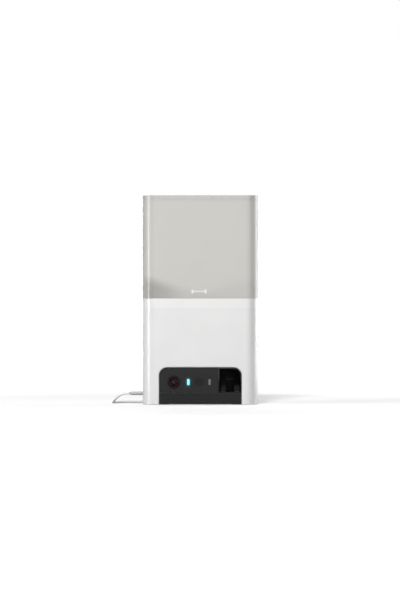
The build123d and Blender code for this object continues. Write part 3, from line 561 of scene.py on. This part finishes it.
def nurbs_cable(name, points, slot, body):
    """One open NURBS line through a route's control points, as thick as the cable."""
    data = bpy.data.curves.new(name, "CURVE")
    data.dimensions = "3D"
    data.bevel_depth = CABLE_D / 2
    data.bevel_resolution = 5
    data.use_fill_caps = True
    data.resolution_u = 5
    spline = data.splines.new("NURBS")
    spline.points.add(len(points) - 1)
    for point, target in zip(points, spline.points):
        target.co = (*point, 1)
    spline.order_u = 3
    spline.use_endpoint_u = True
    return place(bpy.data.objects.new(name, data), slot, body)


cable = nurbs_cable("power_cable", CABLE_ROUTE + coil_points() + TAIL_ROUTE, "cable_jacket", "base")
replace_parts(cable, "usb_cable", "cable_coil", "cable_tail")


def usb_c_overmould():
    """The small plug body: a slim rounded grip with three fine grooves and a short tapered end."""
    wall = highest("usb_c_plug").x
    tip = lowest("usb_c_plug").x
    centre = (middle("usb_c_plug").y, middle("usb_c_plug").z)
    size = highest("usb_c_plug") - lowest("usb_c_plug")
    # each pair: how far from the wall, and how much larger than the plug, in mm
    outline = [(0.0, -0.8), (0.25, -0.3), (0.8, 0.0), (9.4, 0.0)]
    for groove in range(3):
        start = 9.6 + 1.2 * groove
        outline += [(start, 0.0), (start + 0.12, -0.24), (start + 0.42, -0.24),
                    (start + 0.54, 0.0)]
    outline += [(13.8, 0.0), (14.8, -0.12), (15.3, -0.5)]
    rings = []
    for along, grow in outline:
        rings.append(section_x(wall - along * MM, centre, size.y + grow * MM, size.z + grow * MM,
                               2.15 * MM))
    for along, across in ((15.7, 3.7), (16.6, 3.4), (17.6, 3.1)):
        rings.append(section_x(wall - along * MM, centre, across * MM, across * MM,
                               across * MM / 2))
    rings.append(section_x(tip, centre, CABLE_D * 1.04, CABLE_D * 1.04, CABLE_D * 0.52))
    piece = mesh_piece("usb_c_overmould", *loft(rings), "plug_plastic")
    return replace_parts(piece, "usb_c_plug")


def usb_a_overmould():
    """The larger plug body: rounded block with grip ribs and a tapered boot over the cable."""
    start, end = lowest("usb_a_plug"), highest("usb_a_plug")
    centre = (middle("usb_a_plug").y, middle("usb_a_plug").z)
    width, height = end.y - start.y, end.z - start.z
    rings = []
    # the boot: how far from the block in mm, and its width as a share of the block's
    for along, share in ((-9.0, 0.21), (-8.6, 0.235), (-6.4, 0.25), (-6.2, 0.22), (-5.6, 0.22),
                         (-5.4, 0.27), (-3.4, 0.30), (-3.2, 0.26), (-2.6, 0.26), (-2.4, 0.33),
                         (-0.4, 0.38)):
        size = width * share
        rings.append([(start.x + along * MM, centre[0] + u, centre[1] + v)
                      for u, v in rounded_outline(size, min(size, height * 0.72), size / 2)])
    rings.append(section_x(start.x, centre, width * 0.80, height * 0.78, 2.4 * MM))
    rings.append(section_x(start.x + 0.6 * MM, centre, width * 0.95, height * 0.94, 2.2 * MM))
    rings.append(section_x(start.x + 1.8 * MM, centre, width, height, 2.0 * MM))
    for rib in range(5):
        x = start.x + (4.0 + 2.2 * rib) * MM
        for shift, shrink in ((0, 0), (0.25, 0.5), (1.0, 0.5), (1.25, 0)):
            rings.append(section_x(x + shift * MM, centre, width - shrink * MM,
                                   height - shrink * MM, 2.0 * MM))
    rings.append(section_x(end.x - 0.7 * MM, centre, width, height, 2.0 * MM))
    rings.append(section_x(end.x - 0.15 * MM, centre, width * 0.97, height * 0.95, 1.8 * MM))
    rings.append(section_x(end.x, centre, width * 0.93, height * 0.90, 1.6 * MM))
    piece = mesh_piece("usb_a_overmould", *loft(rings), "plug_plastic")
    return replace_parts(piece, "usb_a_plug")


def cable_strap():
    """A hook-and-loop strap pulled round the wound turns."""
    low, high = lowest("cable_tie"), highest("cable_tie")
    centre_y, centre_z = (low.y + high.y) / 2, (low.z + high.z) / 2
    thick = 0.55 * MM
    outer = rounded_outline(high.y - low.y, high.z - low.z, 3.2 * MM, 10)
    inner = rounded_outline(high.y - low.y - 2 * thick, high.z - low.z - 2 * thick, 2.7 * MM, 10)
    count = len(outer)
    across = 9
    verts, faces = [], []
    for k in range(across):
        share = k / (across - 1)
        x = low.x + (high.x - low.x) * share
        edge = 0.12 * MM * (2 * share - 1) ** 4
        for loop, sign in ((outer, -1), (inner, 1)):
            for i, (u, v) in enumerate(loop):
                ripple = 0.10 * MM * sin(5 * 2 * pi * i / count + 3 * share)
                length = (u * u + v * v) ** 0.5
                scale = 1 + (sign * edge + (ripple if sign < 0 else 0) * 0.6) / length
                verts.append((x, centre_y + u * scale, max(centre_z + v * scale, 0.05 * MM)))
    ring = 2 * count
    for k in range(across - 1):
        for i in range(count):
            j = (i + 1) % count
            a, b = k * ring, (k + 1) * ring
            faces.append((a + i, b + i, b + j, a + j))
            faces.append((a + count + i, a + count + j, b + count + j, b + count + i))
    for k in (0, across - 1):
        for i in range(count):
            j = (i + 1) % count
            a = k * ring
            faces.append((a + i, a + j, a + count + j, a + count + i))
    piece = mesh_piece("cable_strap", verts, faces, "tie_fabric")
    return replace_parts(piece, "cable_tie")


plug_c = usb_c_overmould()
plug_a = usb_a_overmould()
strap = cable_strap()

# ------------------------------------------------------------------ camera lens


def lens_parts():
    """Stepped light baffle and a coated inner element behind the front glass, with a painted highlight
    on the element.
    """
    centre = middle("camera_barrel")
    front = lowest("camera_barrel").y
    coating = Material("lens_coating", (0.055, 0.010, 0.020), 0.08, Coat_Weight=1.0,
                       Coat_Roughness=0.03)
    coating.uneven_gloss(0.05, 0.12, 260)
    # painted highlight: the coating's colour is pale pink where it faces the viewer and dark brown where
    # it turns away
    facing = coating.add("LayerWeight")
    facing.inputs["Blend"].default_value = 0.4
    ring = coating.ease(facing.outputs["Facing"], 0, 1, 0.01, 0.10)
    coating.link(coating.mix(ring, (0.10, 0.07, 0.075), (0.014, 0.005, 0.007)),
                 coating.shader.inputs["Base Color"])
    baffle = [(2.3 * MM, front + 1.9 * MM)]
    for step in range(4):
        radius = (2.5 + 0.68 * step) * MM
        depth = front + (1.9 - 0.5 * step) * MM
        baffle += [(radius, depth), (radius + 0.55 * MM, depth),
                   (radius + 0.62 * MM, depth - 0.42 * MM)]
    baffle += [(5.6 * MM, front + 0.05 * MM), (5.6 * MM, front + 2.2 * MM),
               (2.3 * MM, front + 2.2 * MM)]
    mesh_piece("lens_baffle", *turned(baffle, centre, endless=True), "barrel_black", smooth=False)
    dome = []
    edge_angle = radians(62)
    for step in range(9):
        angle = step / 8 * edge_angle
        dome.append((max(0.02 * MM, 3.0 * MM * sin(angle) / sin(edge_angle)),
                     front + 1.1 * MM + 1.6 * MM * (1 - cos(angle))))
    dome.append((2.9 * MM, front + 2.6 * MM))
    dome.append((0.02 * MM, front + 2.6 * MM))
    piece = mesh_piece("lens_element", *turned(dome, centre), "lens_glass")
    piece.data.materials[0] = coating.material


lens_parts()

# ------------------------------------------------------------------ bone emblem on the hopper


def bone_emblem():
    """A small plain bone, printed in thick white ink on the hopper's front."""
    front = lowest("hopper_shell").y
    centre = (-1.7 * MM, lowest("base_housing").z + 142.3 * MM)
    length, knob, waist, neck = 19.5 * MM, 1.45 * MM, 0.85 * MM, 2.6 * MM
    outline = []

    def arc(cx, cz, radius, start, end, steps=10):
        for step in range(steps + 1):
            angle = radians(start + (end - start) * step / steps)
            outline.append((cx + radius * cos(angle), cz + radius * sin(angle)))

    reach = length / 2 - knob
    lobe = knob * 0.82
    arc(reach, lobe, knob, -15, 205)
    outline += [(reach - neck, waist), (-reach + neck, waist)]
    arc(-reach, lobe, knob, -25, 195)
    arc(-reach, -lobe, knob, 165, 385)
    outline += [(-reach + neck, -waist), (reach - neck, -waist)]
    arc(reach, -lobe, knob, 155, 375)
    rings = []
    for y, shrink in ((front + 0.05 * MM, 1.0), (front - 0.10 * MM, 1.0), (front - 0.16 * MM, 0.97)):
        rings.append([(centre[0] + u * shrink, y, centre[1] + v * shrink) for u, v in outline])
    ink = moulded("ink_white", (0.86, 0.86, 0.84), 0.55)
    piece = mesh_piece("bone_emblem", *loft(rings), "collar_plastic", "hopper", smooth=False)
    piece.data.materials[0] = ink.material


bone_emblem()

# ------------------------------------------------------------------ floor and lights

FLOOR_HALF = 30
FLOOR_GLOW = 0.25
GLOW_STARTS, GLOW_FULL = 0.35, 1.6
WORLD_STRENGTH = 0.055
AIM = Vector((0, 0, 0.13))


def make_floor():
    """A pale sweep that glows to an even white away from the feeder."""
    mesh = bpy.data.meshes.new("floor")
    corners = ((-1, -1), (1, -1), (1, 1), (-1, 1))
    mesh.from_pydata([(FLOOR_HALF * x, FLOOR_HALF * y, 0) for x, y in corners], [], [(0, 1, 2, 3)])
    floor = bpy.data.objects.new("floor", mesh)
    bpy.context.scene.collection.objects.link(floor)
    paint = Material("floor_paint", (0.98, 0.98, 0.98), 0.9)
    paint.mottle(0.004, 6)
    away = paint.add("VectorMath", operation="LENGTH")
    paint.link(paint.coords, away.inputs[0])
    glow = paint.spread(away.outputs["Value"], FLOOR_GLOW, 1.0, GLOW_STARTS, GLOW_FULL)
    paint.shader.inputs["Emission Color"].default_value = (1, 1, 1, 1)
    paint.link(glow, paint.shader.inputs["Emission Strength"])
    mesh.materials.append(paint.material)
    floor.visible_diffuse = False


def area_light(name, azimuth, distance, height, size, power):
    """A soft panel light that faces the feeder.

    azimuth is in degrees from the camera's side, positive to the right.
    """
    data = bpy.data.lights.new(name, "AREA")
    data.shape = "RECTANGLE"
    data.size, data.size_y = size
    data.energy = power
    light = bpy.data.objects.new(name, data)
    bpy.context.scene.collection.objects.link(light)
    angle = radians(azimuth)
    light.location = (distance * sin(angle), -distance * cos(angle), height)
    light.rotation_euler = (AIM - light.location).to_track_quat("-Z", "Y").to_euler()


def make_world(strength):
    """White behind the feeder for the camera, and an even dim surround for the light."""
    world = bpy.data.worlds.new("studio")
    bpy.context.scene.world = world
    world.use_nodes = True
    tree = world.node_tree
    surround = tree.nodes["Background"]
    surround.inputs["Strength"].default_value = strength
    white = tree.nodes.new("ShaderNodeBackground")
    white.inputs["Color"].default_value = (1, 1, 1, 1)
    path = tree.nodes.new("ShaderNodeLightPath")
    mix = tree.nodes.new("ShaderNodeMixShader")
    surround.inputs["Color"].default_value = (1, 1, 1, 1)
    tree.links.new(path.outputs["Is Camera Ray"], mix.inputs[0])
    tree.links.new(surround.outputs[0], mix.inputs[1])
    tree.links.new(white.outputs[0], mix.inputs[2])
    tree.links.new(mix.outputs[0], tree.nodes["World Output"].inputs["Surface"])


make_floor()
make_world(WORLD_STRENGTH)
area_light("key_left", -63, 1.5, 0.45, (0.24, 1.8), 14)
area_light("rim_right", 118, 1.6, 0.22, (1.3, 1.0), 18)
area_light("front", 16, 5.0, 0.9, (5.5, 2.6), 78)
area_light("high_left", -8, 5.0, 3.7, (1.1, 1.1), 203)
area_light("back", 180, 4.0, 0.45, (2.6, 0.8), 55)
bpy.context.scene.view_settings.view_transform = "Standard"
